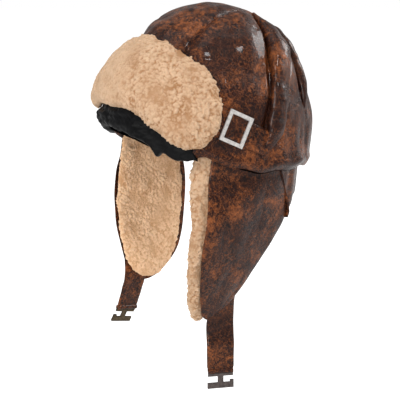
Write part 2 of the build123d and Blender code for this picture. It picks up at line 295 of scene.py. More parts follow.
def inflate(obj, cap):
    """Puff a pad with cloth under pressure, letting no point move further than cap millimetres."""
    before = mesh_points(obj)
    cloth = obj.modifiers.new("cloth", "CLOTH")
    cloth.settings.quality = 5
    cloth.settings.mass = CLOTH_MASS
    cloth.settings.use_pressure = True
    cloth.settings.uniform_pressure_force = PAD_PRESSURE
    cloth.settings.effector_weights.gravity = 0
    cloth.collision_settings.use_collision = False
    cloth.point_cache.frame_start = 1
    cloth.point_cache.frame_end = CLOTH_FRAMES
    for number in range(1, CLOTH_FRAMES + 1):
        bpy.context.scene.frame_set(number)
    settled(obj)
    bpy.context.scene.frame_set(1)
    moved = mesh_points(obj) - before
    length = np.linalg.norm(moved, axis=1)
    moved *= (np.minimum(length, cap) / np.maximum(length, 1e-9))[:, None]
    place_points(obj, before + moved)


def nubs(points, size, seed):
    """Rounded bumps about size millimetres across, 1 on top and 0 between them, each a little different."""
    jog = np.stack([waves(points, size * 1.6, seed + k, 2) for k in range(3)], -1)
    at = (points + 0.28 * size * jog) / size + seed * 7.3
    near = np.array([noise.voronoi(place)[0][:2] for place in at.tolist()])
    dome = 1 - np.clip(near[:, 0] / 0.75, 0, 1) ** 2
    cut = np.clip((near[:, 1] - near[:, 0]) / 0.35, 0, 1)
    return dome * (0.55 + 0.45 * cut)


def curly(obj, depth, size, seed, cap, calm=None):
    """Turn a plain pad into curly pile: even mesh, puffed by cloth, then curls raised out of it.

    Where calm(points) falls below 1 the curls are flatter. The "curl" attribute carries them to the material,
    which paints shade down between them.
    """
    remesh = obj.modifiers.new("even", "REMESH")
    remesh.mode = "VOXEL"
    remesh.voxel_size = PAD_VOXEL * MM
    settled(obj)
    inflate(obj, cap)
    fine = obj.modifiers.new("fine", "SUBSURF")
    fine.levels = fine.render_levels = 2
    settled(obj)
    points = mesh_points(obj)
    normals = np.empty(len(points) * 3)
    obj.data.vertex_normals.foreach_get("vector", normals)
    uneven = 0.8 + 0.35 * waves(points, size * 3, seed + 2, 2)
    large, small = nubs(points, size, seed), nubs(points, size * 0.58, seed + 5)
    curl = (0.5 * large + 0.5 * small) * uneven
    raise_by = depth * (curl - 0.35) + 0.7 * waves(points, size * 6, seed + 3, 2)
    if calm is not None:
        raise_by = raise_by * calm(points)
        curl = curl * calm(points) + 0.5 * (1 - calm(points))
    # The curls' height, kept for the painted shade between the curls in the material.
    store = obj.data.attributes.new("curl", "FLOAT", "POINT")
    store.data.foreach_set("value", np.clip(curl / 0.8, 0, 1))
    obj.data.polygons.foreach_set("use_smooth", [True] * len(obj.data.polygons))
    place_points(obj, points + normals.reshape(-1, 3) * raise_by[:, None])


def mirror_grid(grid):
    out = grid.copy()
    out[..., 0] *= -1
    return out


# ---- materials ----

# The Mix node's colour sockets: their names are shared with its other kinds, so they go by number.
MIX_INPUTS = (0, 6, 7)
MIX_RESULT = 2


class Nodes:
    """A material's node tree, with short ways to add and join nodes."""

    def __init__(self, name):
        self.material = bpy.data.materials.new(name)
        self.material.use_nodes = True
        self.tree = self.material.node_tree
        self.shader = self.tree.nodes["Principled BSDF"]
        self.place = self.add("TexCoord").outputs["Object"]

    def feed(self, socket, value):
        """Link a node's output to a socket, or set the socket's own value."""
        if isinstance(value, bpy.types.NodeSocket):
            self.tree.links.new(value, socket)
        else:
            socket.default_value = value

    def add(self, kind, inputs=None, **settings):
        node = self.tree.nodes.new("ShaderNode" + kind)
        for key, value in settings.items():
            setattr(node, key, value)
        for key, value in (inputs or {}).items():
            self.feed(node.inputs[key], value)
        return node

    def noise(self, scale, detail=4.0, roughness=0.6, distortion=0.0, place=None):
        inputs = {"Vector": place or self.place, "Scale": scale, "Detail": detail}
        inputs.update({"Roughness": roughness, "Distortion": distortion})
        return self.add("TexNoise", inputs).outputs["Fac"]

    def cells(self, scale, feature="F1", place=None):
        inputs = {"Vector": place or self.place, "Scale": scale}
        return self.add("TexVoronoi", inputs, feature=feature).outputs["Distance"]

    def ramp(self, value, stops):
        """A colour ramp of (position, colour) stops, where a plain number is a grey."""
        node = self.add("ValToRGB", {"Fac": value})
        ramp = node.color_ramp
        while len(ramp.elements) < len(stops):
            ramp.elements.new(0.5)
        for element, (position, colour) in zip(ramp.elements, stops):
            element.position = position
            if not hasattr(colour, "__len__"):
                colour = (colour, colour, colour)
            element.color = (*colour, 1)
        return node.outputs["Color"]

    def math(self, kind, a, b=0.0):
        node = self.add("Math", operation=kind)
        for socket, value in zip(node.inputs, (a, b)):
            self.feed(socket, value)
        return node.outputs[0]

    def mix(self, share, a, b):
        """Colour a turning into colour b by share."""
        node = self.add("Mix", data_type="RGBA")
        for index, value in zip(MIX_INPUTS, (share, a, b)):
            self.feed(node.inputs[index], value)
        return node.outputs[MIX_RESULT]

    def bump(self, height, strength, distance, normal=None):
        inputs = {"Height": height, "Strength": strength, "Distance": distance}
        if normal is not None:
            inputs["Normal"] = normal
        return self.add("Bump", inputs).outputs["Normal"]

    def finish(self, colour, roughness, normal=None, **constants):
        """Feed the shader its colour, roughness and normal, and set constants by socket name."""
        self.feed(self.shader.inputs["Base Color"], colour)
        self.feed(self.shader.inputs["Roughness"], roughness)
        if normal is not None:
            self.feed(self.shader.inputs["Normal"], normal)
        for key, value in constants.items():
            self.shader.inputs[key.replace("_", " ")].default_value = value
        return self.material


def leather_material(name):
    """Distressed dark brown leather: rust-coloured clouds and flecks, thin scratches and a waxy shine."""
    n = Nodes(name)
    warp = n.add("TexNoise", {"Vector": n.place, "Scale": 70.0, "Detail": 4.0}).outputs["Color"]
    shift = n.add("VectorMath", {0: warp, 1: (0.5, 0.5, 0.5)}, operation="SUBTRACT").outputs[0]
    small = n.add("VectorMath", {0: shift, "Scale": 0.022}, operation="SCALE").outputs[0]
    warped = n.add("VectorMath", {0: n.place, 1: small}, operation="ADD").outputs[0]
    cloud = n.noise(24.0, 4.0, 0.55)
    patch = n.noise(80.0, 8.0, 0.68, 0.9)
    fleck = n.noise(330.0, 6.0, 0.75, 1.0)
    amount = n.math("ADD", n.math("MULTIPLY", cloud, 0.38), n.math("MULTIPLY", patch, 0.44))
    amount = n.math("ADD", amount, n.math("MULTIPLY", fleck, 0.18))
    rust = n.ramp(amount, [(0.507, 0.0), (0.532, 0.36), (0.574, 0.97)])
    ridge = n.math("ABSOLUTE", n.math("SUBTRACT", n.noise(85.0, 3.0, 0.55, 2.4), 0.5))
    scratch = n.ramp(ridge, [(0.0, 1.0), (0.037, 0.0)])
    cells = n.ramp(n.cells(150.0, "DISTANCE_TO_EDGE", warped), [(0.0, 1.0), (0.07, 0.0)])
    lines = n.math("MAXIMUM", scratch, n.math("MULTIPLY", cells, 0.8))
    lines = n.math("MULTIPLY", lines, n.ramp(fleck, [(0.36, 0.0), (0.52, 1.0)]))
    lines = n.math("MULTIPLY", lines, n.ramp(cloud, [(0.38, 0.35), (0.56, 1.0)]))
    rust = n.math("MAXIMUM", rust, lines)
    dark = n.ramp(n.noise(120.0, 6.0, 0.7, 0.5), [
        (0.32, (0.004, 0.002, 0.0022)),
        (0.52, (0.014, 0.005, 0.0044)),
        (0.70, (0.040, 0.0125, 0.0075)),
    ])
    bright = n.ramp(fleck, [(0.38, (0.060, 0.017, 0.007)), (0.64, (0.30, 0.090, 0.026))])
    colour = n.mix(rust, dark, bright)
    rough = n.ramp(n.noise(110.0, 6.0, 0.65), [(0.32, 0.20), (0.66, 0.42)])
    grain = n.cells(1000.0, "DISTANCE_TO_EDGE", warped)
    normal = n.bump(n.ramp(grain, [(0.0, 0.0), (0.12, 1.0)]), 0.25, 0.0003)
    normal = n.bump(lines, 0.3, -0.0005, normal)
    crackle = n.cells(420.0, "DISTANCE_TO_EDGE", warped)
    normal = n.bump(n.ramp(crackle, [(0.0, 0.0), (0.30, 1.0)]), 0.32, 0.0006, normal)
    normal = n.bump(n.noise(190.0, 6.0, 0.68, 0.6), 0.42, 0.0016, normal)
    return n.finish(
        colour, rough, normal,
        Coat_Weight=0.17,
        Coat_Roughness=0.09,
        Specular_IOR_Level=0.14,
        Specular_Tint=(1.0, 0.75, 0.65, 1),
    )


def fleece_material(name, light, deep):
    """Curly sheep-like pile: pale tips, and painted shade darker down between the curls."""
    n = Nodes(name)
    curl = n.add("Attribute", attribute_name="curl").outputs["Fac"]
    tight = n.cells(520.0)
    cloud = n.noise(45.0, 5.0, 0.6, 0.3)
    fibre = n.noise(1300.0, 4.0, 0.7, 2.0)
    # Painted shade: the colour runs from the deep colour down between the curls to the light one on their
    # tops.
    height = n.math("SUBTRACT", curl, n.math("MULTIPLY", tight, 0.26))
    height = n.math("ADD", height, n.math("MULTIPLY", n.math("SUBTRACT", fibre, 0.5), 0.6))
    middle = [0.4 * a + 0.6 * b for a, b in zip(deep, light)]
    colour = n.ramp(height, [(0.0, deep), (0.24, middle), (0.62, light)])
    colour = n.mix(n.ramp(cloud, [(0.40, 0.0), (0.66, 0.55)]), colour, (*middle, 1))
    normal = n.bump(n.cells(360.0, "SMOOTH_F1"), 0.45, -0.0010)
    normal = n.bump(fibre, 0.7, 0.0009, normal)
    return n.finish(
        colour, 0.95, normal,
        Sheen_Weight=0.25,
        Sheen_Roughness=0.6,
        Sheen_Tint=(1.0, 0.85, 0.65, 1),
        Subsurface_Weight=0.10,
        Subsurface_Radius=(0.004, 0.0025, 0.0015),
        Specular_IOR_Level=0.1,
    )


def satin_material(name):
    """Black satin: a faint twill weave with a soft streaked shine."""
    n = Nodes(name)
    twill = {"Vector": n.place, "Scale": 900.0, "Distortion": 1.0, "Detail": 1.0}
    weave = n.add("TexWave", twill, bands_direction="DIAGONAL").outputs["Fac"]
    folds = n.noise(70.0, 4.0, 0.6, 0.8)
    colour = n.ramp(folds, [(0.3, (0.0022, 0.0022, 0.0025)), (0.7, (0.0055, 0.0055, 0.006))])
    rough = n.ramp(folds, [(0.3, 0.38), (0.7, 0.55)])
    normal = n.bump(weave, 0.12, 0.0002)
    normal = n.bump(folds, 0.45, 0.0022, normal)
    return n.finish(colour, rough, normal, Specular_IOR_Level=0.08)


def metal_material(name, light, dark, roughness, metallic=1.0):
    """Cast and plated metal: slightly uneven, duller in its hollows, with fine brushing."""
    n = Nodes(name)
    wear = n.noise(260.0, 5.0, 0.65)
    drawn_out = n.add("Mapping", {"Vector": n.place, "Scale": (1.0, 0.15, 3.0)}).outputs[0]
    brushed = n.noise(900.0, 3.0, 0.5, place=drawn_out)
    colour = n.ramp(wear, [(0.32, dark), (0.62, light)])
    rough = n.ramp(wear, [(0.3, min(1.0, roughness * 1.6)), (0.7, roughness)])
    normal = n.bump(brushed, 0.15, 0.0002)
    normal = n.bump(wear, 0.15, 0.0004, normal)
    return n.finish(colour, rough, normal, Metallic=metallic)


LEATHER = leather_material("distressed_leather")
FLEECE = fleece_material("front_fleece", (0.63, 0.425, 0.275), (0.34, 0.165, 0.070))
# The inner fleece is the same pile painted brighter: painted light for the right ear flap's pile and the neck
# flap's pile, which the lamps reach little.
INNER_FLEECE_PAINTED_BRIGHTER = fleece_material("inner_fleece_painted_brighter", (0.93, 0.62, 0.385), (0.62, 0.34, 0.17))
SATIN = satin_material("black_satin")
NICKEL = metal_material("bright_nickel", (0.77, 0.74, 0.71), (0.46, 0.43, 0.41), 0.34, metallic=0.6)
GUNMETAL = metal_material("gunmetal", (0.13, 0.108, 0.10), (0.055, 0.045, 0.042), 0.30)
BRASS = metal_material("antique_brass", (0.13, 0.098, 0.060), (0.055, 0.041, 0.024), 0.34)


# ---- crown ----


def seam_distance(points, seam):
    """How far behind a seam's plane points lie."""
    return points[..., 1] - (seam[0] + seam[1] * points[..., 2])


def strip_distance(points):
    """How far points lie outside the centre strip's edge."""
    return np.abs(points[..., 0]) - (STRIP_HALF - STRIP_TAPER * points[..., 1])


def crown_relief(points):
    """How far the padded leather stands out of the plain crown at each point."""
    z = points[..., 2]
    strip = strip_distance(points)
    side = seam_distance(points, SIDE_SEAM)
    back = seam_distance(points, BACK_SEAM)
    outside = step(strip / 2.0)
    rim = z - rim_height(points)
    # Padding between the seams, and the grooves that the seams pull in.
    relief = 2.8 * (1 - bump(strip, 8.0)) - 1.6 * bump(strip, 1.5) - 0.8
    relief -= outside * bump(side + 3.2, 4.4) * (0.9 + 5.0 * step((z - 26) / 26))
    relief -= outside * bump(back + 2.0, 3.6) * (0.9 + 3.0 * step((z - 46) / 34))
    # Fuller either side of the side seam's roll, high up.
    high = step((z - 40) / 45)
    relief += outside * 2.8 * high * bump(side + 26, 16)
    relief += outside * 1.8 * high * bump(side - 24, 14)
    # Slack, creases that run down the panels, and a few sharp folds.
    lazy = waves(points, 44, 11, 2)
    creases = waves(points * (1.0, 1.0, 0.42), 15, 12, 2)
    sharp = np.abs(waves(points * (1.0, 1.0, 0.5), 26, 14, 2))
    relief += 1.5 * lazy + 0.6 * creases * (0.6 + 0.4 * lazy) + 1.1 * (sharp**0.7 - 0.5)
    # Flat round each buckle, more so on the right, so that the frames slide clear. Low at the top front.
    near = np.stack([np.abs(points[..., 0]), points[..., 1], z], -1) - BUCKLE_SPOT
    flat = np.where(points[..., 0] < 0, 0.97, 0.75)
    relief *= (1 - flat * bump(np.linalg.norm(near, axis=-1), BUCKLE_FLAT))
    top_front = np.linalg.norm(points - (-16.0, -52.0, 138.0), axis=-1)
    relief -= 3.6 * bump(top_front, 55)
    # The hem: calmer, with a soft bulge above its edge.
    hem = step(1 - rim / 9)
    return relief * (1 - 0.7 * hem) + 1.9 * bump(rim - 4.5, 5) - 0.5 * bump(rim, 2.0)


# The turned hem, from inside to the edge: how far out of the crown's face, and how far up.
HEM_TURN = [(-6.0, 5.0), (-3.6, 1.2), (-2.2, -0.9), (-0.9, -0.9)]


def crown_panels():
    """The crown's leather in seven panels, cut from one padded dome along its seams."""
    columns, rows = 560, 190
    angles = np.linspace(-math.pi, math.pi, columns, endpoint=False)
    z = dome_heights(settle_rim(angles, 0.0), RISE, np.linspace(0, 1, rows) ** 0.96, 0.004)
    points = crown_at(angles[:, None], z)
    normals = crown_normal(points)
    skin = points + normals * crown_relief(points)[..., None]
    hem = [skin[:, :1] + out * normals[:, :1] + (0, 0, lift) for out, lift in HEM_TURN]
    skin = np.concatenate([*hem, skin], axis=1)
    flat = np.concatenate([points[:, :1]] * len(HEM_TURN) + [points], axis=1)
    rows += len(HEM_TURN)
    quads = np.array(grid_faces(columns, rows, wrap=True))
    middle = flat.reshape(-1, 3)[quads].mean(1)
    strip = strip_distance(middle) < 0
    side = seam_distance(middle, SIDE_SEAM)
    back = seam_distance(middle, BACK_SEAM)
    left = middle[:, 0] > 0
    groups = {"crown_centre_strip": strip}
    for name, where in (("left", left), ("right", ~left)):
        groups["crown_front_panel_" + name] = ~strip & where & (side < 0)
        groups["crown_side_panel_" + name] = ~strip & where & (side >= 0) & (back < 0)
        groups["crown_back_panel_" + name] = ~strip & where & (back >= 0)
    all_points = skin.reshape(-1, 3)
    top = all_points.reshape(columns, rows, 3)[:, -1].mean(0)
    for name, chosen in groups.items():
        used, index = np.unique(quads[chosen], return_inverse=True)
        faces = index.reshape(-1, 4).tolist()
        mine = all_points[used]
        if name == "crown_centre_strip":
            # The strip also closes the small hole at the very top.
            ring = np.arange(columns) * rows + rows - 1
            place = {int(u): i for i, u in enumerate(used)}
            centre = len(mine)
            mine = np.concatenate([mine, top[None]])
            faces += [[place[int(a)], place[int(b)], centre] for a, b in zip(ring, np.roll(ring, -1))]
        panel = mesh_object(name + "_leather", mine, faces, LEATHER)
        wear(panel, "crown", "leather", name)


def seam_path(seam, low, clear, count):
    """Points up the left side of the crown along a seam's plane, evenly spaced, clear of the strip."""
    z = WIDEST_Z + RISE * np.sin(np.linspace(0, math.pi / 2, 900)) ** (2 / POWER)
    z = np.concatenate([np.linspace(low, WIDEST_Z, 60, endpoint=False), z]) if low < WIDEST_Z else z
    z = z[z >= low]
    points = crown_side(seam[0] + seam[1] * z, z)
    points = points[strip_distance(points) > clear]
    steps = np.concatenate([[0], np.cumsum(np.linalg.norm(np.diff(points, axis=0), axis=1))])
    even = np.linspace(0, steps[-1], count)
    return np.stack([np.interp(even, steps, points[:, i]) for i in range(3)], -1)


# A roll's section: how far behind the seam, and how far out. Its front leans over the seam.
ROLL_SECTION = [
    (-0.5, -3.5), (-1.8, -0.5), (-2.6, 2.4), (-1.6, 5.0), (1.4, 6.9), (5.0, 7.2), (8.6, 5.9), (11.4, 3.4),
    (12.8, 0.8), (13.6, -2.0), (7.0, -3.6),
]


def seam_rolls(name, seam, low, width, height, taper, seed):
    """The gathered roll of leather that stands up behind a seam, on both sides of the crown."""
    count, around = 150, 40
    path = seam_path(seam, low, 1.5, count)
    tangent = unit(np.gradient(path, axis=0))
    normal = crown_normal(path)
    back = np.cross(tangent, normal)
    back *= np.sign(back[:, 1:2])
    section = smooth_curve(ROLL_SECTION + ROLL_SECTION[:1], np.linspace(0, 1, around, endpoint=False))
    grow = step((path[:, 2] - low) / taper)
    along = np.linspace(0, 1, count)
    end = 1 - 0.78 * step((along - 0.80) / 0.20)
    rough = 1 + 0.13 * waves(path, 34, seed, 2)
    across_scale = width * (0.30 + 0.70 * grow) * end * rough
    up_scale = height * (0.16 + 0.84 * grow) * end * rough
    grid = (
        path[:, None]
        + back[:, None] * (section[None, :, :1] * across_scale[:, None, None])
        + normal[:, None] * (section[None, :, 1:] * up_scale[:, None, None])
    )
    outward = grid - path[:, None]
    outward /= np.maximum(np.linalg.norm(outward, axis=-1), 1e-6)[..., None]
    grid = grid + outward * (0.45 * waves(grid, 9, seed + 1, 2))[..., None]
    grid = grid.transpose(1, 0, 2)
    for side_name, shown in (("left", grid), ("right", mirror_grid(grid))):
        faces = grid_faces(around, count, wrap=True, flip=side_name == "right")
        ends = [list(range(0, around * count, count)), list(range(count - 1, around * count, count))]
        faces += [ends[0], ends[1][::-1]]
        roll = mesh_object(f"{name}_{side_name}_leather", shown, faces, LEATHER)
        wear(roll, "crown", "leather", f"{name}_{side_name}")


# ---- ear flaps ----

# Each flap's leather edges as seen from the side (y, z), from the crown down to the tip.
EAR_FRONT = {
    "left": [(-58, 22), (-60.5, 2), (-66.5, -18), (-70.5, -33), (-74, -55), (-74.5, -73), (-72.5, -92),
             (-69.5, -112), (-64.5, -130), (-59, -145), (-53, -151)],
    "right": [(-62, 22), (-67.5, 0), (-69, -32), (-71, -56), (-73, -82), (-71.5, -106), (-68, -127),
              (-60, -140), (-48, -147), (-38, -148.5)],
}
EAR_BACK = {
    "left": [(16, 8), (19, -2), (24, -15), (33, -37), (36.5, -48), (32, -60), (20.5, -74), (10.5, -87),
             (-1, -103), (-10, -117), (-18, -128), (-31, -140), (-44, -148.5), (-53, -151)],
    "right": [(18, 8), (22, -5), (27.5, -22), (28, -49), (22.5, -80), (13, -110), (5, -124),
              (-10, -139), (-25, -146.5), (-38, -148.5)],
}
# The fleece's front edge on the left flap, where it stands out past the leather.
LIP_FRONT = [(-68, 20), (-74, -3), (-81.5, -33), (-83.5, -70), (-79.5, -105), (-71, -135), (-62, -152),
             (-53, -157)]
# How far the leather and the pile reach up inside the crown's edge.
SHELL_TUCK = 8.0
PILE_TUCK = 6.0


def ear_flap_x(y, z):
    """How far out the left ear flap's leather lies: along the crown at its top, curling in below."""
    top = 93.5 - 0.004 * (y - 2) ** 2
    low = 90.0 - (y + 22) ** 2 / 700 - 0.00125 * z**2
    share = step((10 - z) / 60)
    return (1 - share) * top + share * low


def ear_grid(front, back, columns, rows, top_lift):
    """The flap's side view as a grid, front to back and crown to tip, with its shares across and down."""
    across, down = eased(columns), eased(rows)
    fore, aft = smooth_curve(front, down), smooth_curve(back, down)
    grid = fore[None] * (1 - across[:, None, None]) + aft[None] * across[:, None, None]
    top = lower_edge(grid[:, :1, 0]) + top_lift
    lift = top - grid[:, :1, 1]
    grid[..., 1] += lift * (1 - step(down / 0.25))[None, :]
    return grid, across, down


def pad_profile(value, power):
    """1 in the middle of 0 to 1, rounding down to 0 at both ends."""
    return (1 - np.abs(2 * value - 1) ** power) ** (1 / power)


def rim_profile(across, down, power):
    """Like pad_profile over a flap: round at its front, its back and its tip, but full at its top."""
    side = pad_profile(across, power)[:, None]
    tip = (1 - down**(2 * power)) ** (1 / power)
    return side * tip[None, :]


def right_shell_edges():
    """The right flap's leather edges: short of its pile in front, past it behind and at the tip."""
    front, back = (np.array(edge["right"], float) for edge in (EAR_FRONT, EAR_BACK))
    front[:, 0] += 5.0 * step((front[:, 1] + 148) / 30)
    back[:, 0] += 7.0 * step((back[:, 1] + 146) / 24) * step((6 - back[:, 1]) / 16)
    for edge in (front, back):
        edge[:, 1] -= 1.8 * step((-120 - edge[:, 1]) / 20)
    return front, back


def ear_shell(which):
    """The leather of an ear flap, as outer and inner faces on the left side of the hat."""
    front, back = right_shell_edges() if which == "right" else (EAR_FRONT[which], EAR_BACK[which])
    plane, across, down = ear_grid(front, back, 90, 130, SHELL_TUCK)
    y, z = plane[..., 0], plane[..., 1]
    face = np.stack([ear_flap_x(y, z) - 4.2 * step((z + 24) / 26), y, z], -1)
    puff = rim_profile(across, down, 3.0)
    wrinkle = waves(face * (1, 1, 0.6), 36, 21, 3)
    sharp = np.abs(waves(face * (1, 0.8, 0.6), 24, 22, 2)) ** 0.7 - 0.5
    fall = step((5 - z) / 25)
    lift = 1.8 * puff - 0.6 + (1.2 * wrinkle + 0.9 * sharp) * fall * puff**0.3
    outer, inner = face.copy(), face.copy()
    outer[..., 0] += lift
    inner[..., 0] -= 0.6 + 1.4 * puff
    return outer, inner


def ear_pile(which):
    """The fleece of an ear flap, as outer and inner faces on the left side of the hat."""
    if which == "left":
        front, thick, front_power = LIP_FRONT, 14.0, 3.2
    else:
        front, thick, front_power = [(y + 1.4, z + 0.8) for y, z in EAR_FRONT[which]], 9.5, 2.6
    back = [(y - 1.2, z + 0.8) for y, z in EAR_BACK[which][:-1]] + [front[-1]]
    plane, across, down = ear_grid(front, back, 70, 100, PILE_TUCK)
    if which == "left":
        further_up = 5.0 * step((-38 - plane[..., 0]) / 20)
        plane[..., 1] += further_up * (1 - step(down / 0.12))[None]
    y, z = plane[..., 0], plane[..., 1]
    base = np.stack([ear_flap_x(y, z) - 3.6 - 2.0 * step((z + 25) / 30), y, z], -1)
    shape = rim_profile(across, down, front_power)
    leather = np.array(EAR_FRONT[which][::-1], float)
    past = step((np.interp(z, leather[:, 1], leather[:, 0]) - y) / 6) if which == "left" else 0 * y
    # The pile stands out further where it passes the leather's front edge, and its rim closes part way in.
    outer, inner = base.copy(), base.copy()
    outer[..., 0] += 3.4 * past * shape - 0.42 * thick * (1 - shape)
    inner[..., 0] -= thick * shape + 0.42 * thick * (1 - shape)
    return outer, inner


def ear_flaps():
    """Each flap's leather and pile, reaching up inside the crown's edge."""
    for which, sign in (("left", 1), ("right", -1)):
        outer, inner = ear_shell(which)
        shell = sided_pad(which + "_ear_flap_leather", outer, inner, sign, LEATHER)
        shell.modifiers.new("weld", "WELD").merge_threshold = WELD_DISTANCE
        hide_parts(which + "_ear_flap_shell")
        outer, inner = ear_pile(which)
        pad = sided_pad(which + "_ear_flap_pile", outer, inner, sign, FLEECE if sign > 0 else INNER_FLEECE_PAINTED_BRIGHTER)
        curly(pad, 2.2 if sign > 0 else 1.7, INNER_CURL, 31, cap=1.0)
        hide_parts(which + "_ear_flap_fleece")
        for piece in (shell, pad):
            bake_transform(piece)


# ---- neck flap ----

# The neck flap's lower edge on each side, as how far back and heights.
NECK_EDGE = {
    "left": np.array([(20, -54), (36, -55), (48, -47), (57, -40), (75, -33), (110, -31), (140, -31)], float),
    "right": np.array([(20, -19), (36, -20), (48, -21), (57, -23), (75, -27), (98, -31), (140, -31)], float),
}
# The line on each side where the neck flap starts behind the ear flap, as heights and how far back.
NECK_START = {
    "left": np.array([(-61, 34), (-48, 38), (-37, 34.5), (-15, 25.5), (-2, 20.5), (20, 16)], float),
    "right": np.array([(-61, 30), (-48, 30), (-22, 29), (-5, 23.5), (20, 17)], float),
}
NECK_WALL = 1.6
NECK_PILE = 9.0


def neck_flap():
    """The short flap behind the ear flaps, sewn inside the crown's edge."""
    columns, rows = 240, 36
    start = math.radians(96)
    angles = np.linspace(start, 2 * math.pi - start, columns)
    down = eased(rows)
    rim = settle_rim(angles, NECK_OFFSET)
    low = rim - 30
    for _ in range(10):
        back = crown_at(angles, low, NECK_OFFSET)[:, 1]
        left_low, right_low = (np.interp(back, *NECK_EDGE[which].T) for which in ("left", "right"))
        low = np.where(angles < math.pi, left_low, right_low)
    z = (rim + 7)[:, None] * (1 - down[None]) + low[:, None] * down[None]
    face = crown_at(angles[:, None], z, NECK_OFFSET)
    for which, sign in (("left", 1), ("right", -1)):
        limit = np.interp(z, *NECK_START[which].T)
        mine = (sign * face[..., 0] > 0) & (face[..., 1] < limit)
        face[..., 1] = np.where(mine, limit, face[..., 1])
    normals = crown_normal(face)
    folds = waves(face * (1, 1, 0.12), 15, 41, 2)
    puff = pad_profile(np.clip(down, 0.02, 0.98), 3.0)[None, :]
    outer = face + normals * (1.3 * folds * step(down / 0.3)[None] + 0.8 * puff)[..., None]
    inner = face - normals * NECK_WALL
    shell = pad_object("neck_flap_leather", inner, outer, LEATHER)
    wear(shell, "crown", "leather", "neck_flap_shell")
    start_face = face - normals * 3.2
    start_face[..., 2] -= 1.5 * step((down - 0.8) / 0.2)[None]
    ends = np.linspace(0, 1, columns)
    end_puff = ((1 - down**6) ** (1 / 3))[None] * (0.35 + 0.65 * pad_profile(ends, 8.0))[:, None]
    deep = start_face - normals * (NECK_PILE * end_puff)[..., None]
    pad = pad_object("neck_flap_pile", deep, start_face, INNER_FLEECE_PAINTED_BRIGHTER)
    curly(pad, 1.7, INNER_CURL, 43, cap=0.8)
    wear(pad, "crown", "fleece", "neck_flap_fleece")


# ---- front flap and band ----

# The front flap's lower and upper edges: degrees round the crown, and height.
FLAP_BOTTOM = np.array(
    [(-58, 72), (-56, 63), (-53, 55), (-49, 50), (-44, 49), (-38, 53), (-30, 58), (-20, 62), (-8, 63.5),
     (5, 63), (13, 60.5), (18, 58), (24, 51.5), (31, 43), (38, 35), (44, 30.5), (48.5, 30.5), (53, 36.5),
     (56.5, 46), (58.5, 57), (59.5, 70)], float)
FLAP_TOP = np.array(
    [(-58, 72), (-57, 84), (-54, 96), (-49, 107), (-42, 115), (-33, 121), (-22, 126.5), (-10, 130), (0, 131),
     (12, 131), (24, 127), (33, 121.5), (40, 117), (47, 110), (53.5, 102.5), (57, 94), (59, 84),
     (59.5, 70)], float)


def flap_grid(columns, rows, shrink=0.0):
    """Angles and heights over the front flap, from its right end to its left and from bottom to top."""
    side = np.sin(np.linspace(-math.pi / 2, math.pi / 2, columns))
    middle = (FLAP_BOTTOM[-1, 0] + FLAP_BOTTOM[0, 0]) / 2
    half = (FLAP_BOTTOM[-1, 0] - FLAP_BOTTOM[0, 0]) / 2
    angle = middle + half * side * (1 - shrink)
    up = eased(rows)
    low = smooth_read(FLAP_BOTTOM, angle) + 60 * shrink
    high = smooth_read(FLAP_TOP, angle) - 60 * shrink
    z = low[:, None] * (1 - up[None]) + high[:, None] * up[None]
    return np.radians(angle)[:, None], z, side, up


def smooth_read(table, value):
    """A table's second column at values of its first, read from a smooth curve through it."""
    return np.interp(value, *smooth_curve(table, np.linspace(0, 1, 800)).T)


def flap_face(angle, z, up, offset, lean):
    """The face a layer of the front flap lies on, and its normals; lean brings its top nearer the crown."""
    face = crown_at(angle, z, offset)
    normals = crown_normal(face)
    return face - normals * (lean * step((up - 0.3) / 0.7))[..., None], normals


def backing_face(angle, z, up):
    return flap_face(angle, z, up, BACKING_OFFSET, 2.0)


def flap_calm(points):
    """How curly the front flap is: tight curls towards the wearer's left, combed flatter on the right."""
    return 0.5 + 0.5 * step((points[..., 0] + 20) / 60)


def press_back(obj):
    """Press the back of the front flap's pile flat, so that no curl stands through its satin."""
    points = mesh_points(obj)
    x, y, z = points.T
    turned = np.arctan2(x * HALF_LENGTH / HALF_WIDTH, CENTRE_Y - y)
    low = smooth_read(FLAP_BOTTOM, np.degrees(turned))
    high = smooth_read(FLAP_TOP, np.degrees(turned))
    up = (z - low) / np.maximum(high - low, 1.0)
    face, normals = backing_face(turned, z, up)
    depth = ((points - face) * normals).sum(1)
    place_points(obj, points + normals * np.clip(-0.5 - depth, 0, None)[:, None])


def front_flap():
    """The turned-up flap: thick pile outside, black satin against the crown."""
    angle, z, side, up = flap_grid(120, 64)
    shape = pad_profile((side + 1) / 2, 4.5)[:, None] * pad_profile(up, 3.0)[None]
    thick = 12.0 - 7.0 * up[None] ** 1.2
    base, normals = flap_face(angle, z, up[None], PILE_OFFSET, 2.4)
    # Its right end stands a little further off the crown low down.
    flare = 3.5 * bump(np.degrees(angle) + 50, 24) * (1 - step((up - 0.1) / 0.5))
    base = base + normals * flare[..., None]
    outer = base + normals * (thick * shape)[..., None]
    pad = pad_object("front_flap_pile", base - normals * (0.3 * shape)[..., None], outer, FLEECE)
    curly(pad, 2.6, FRONT_CURL, 51, cap=2.0, calm=flap_calm)
    press_back(pad)
    wear(pad, "front_flap", "fleece", "front_flap_fleece")
    angle, z, side, up = flap_grid(160, 70, 0.06)
    base, normals = backing_face(angle, z, up[None])
    ripple = 0.3 * waves(base, 16, 53, 2)
    backing = pad_object("front_flap_satin", base - normals * (1.2 + ripple)[..., None], base, SATIN)
    wear(backing, "front_flap", "satin", "front_flap_backing")


# The band's section, from inside round under the wall and up the front: how far out, and how far up.
BAND_SECTION = [
    (-8.2, 6.0), (-7.7, 0.6), (-4.0, -1.7), (1.4, -1.5), (4.0, 0.2), (5.0, 5.0), (4.8, 12.0), (4.2, 19.0),
    (2.4, 26.0),
]


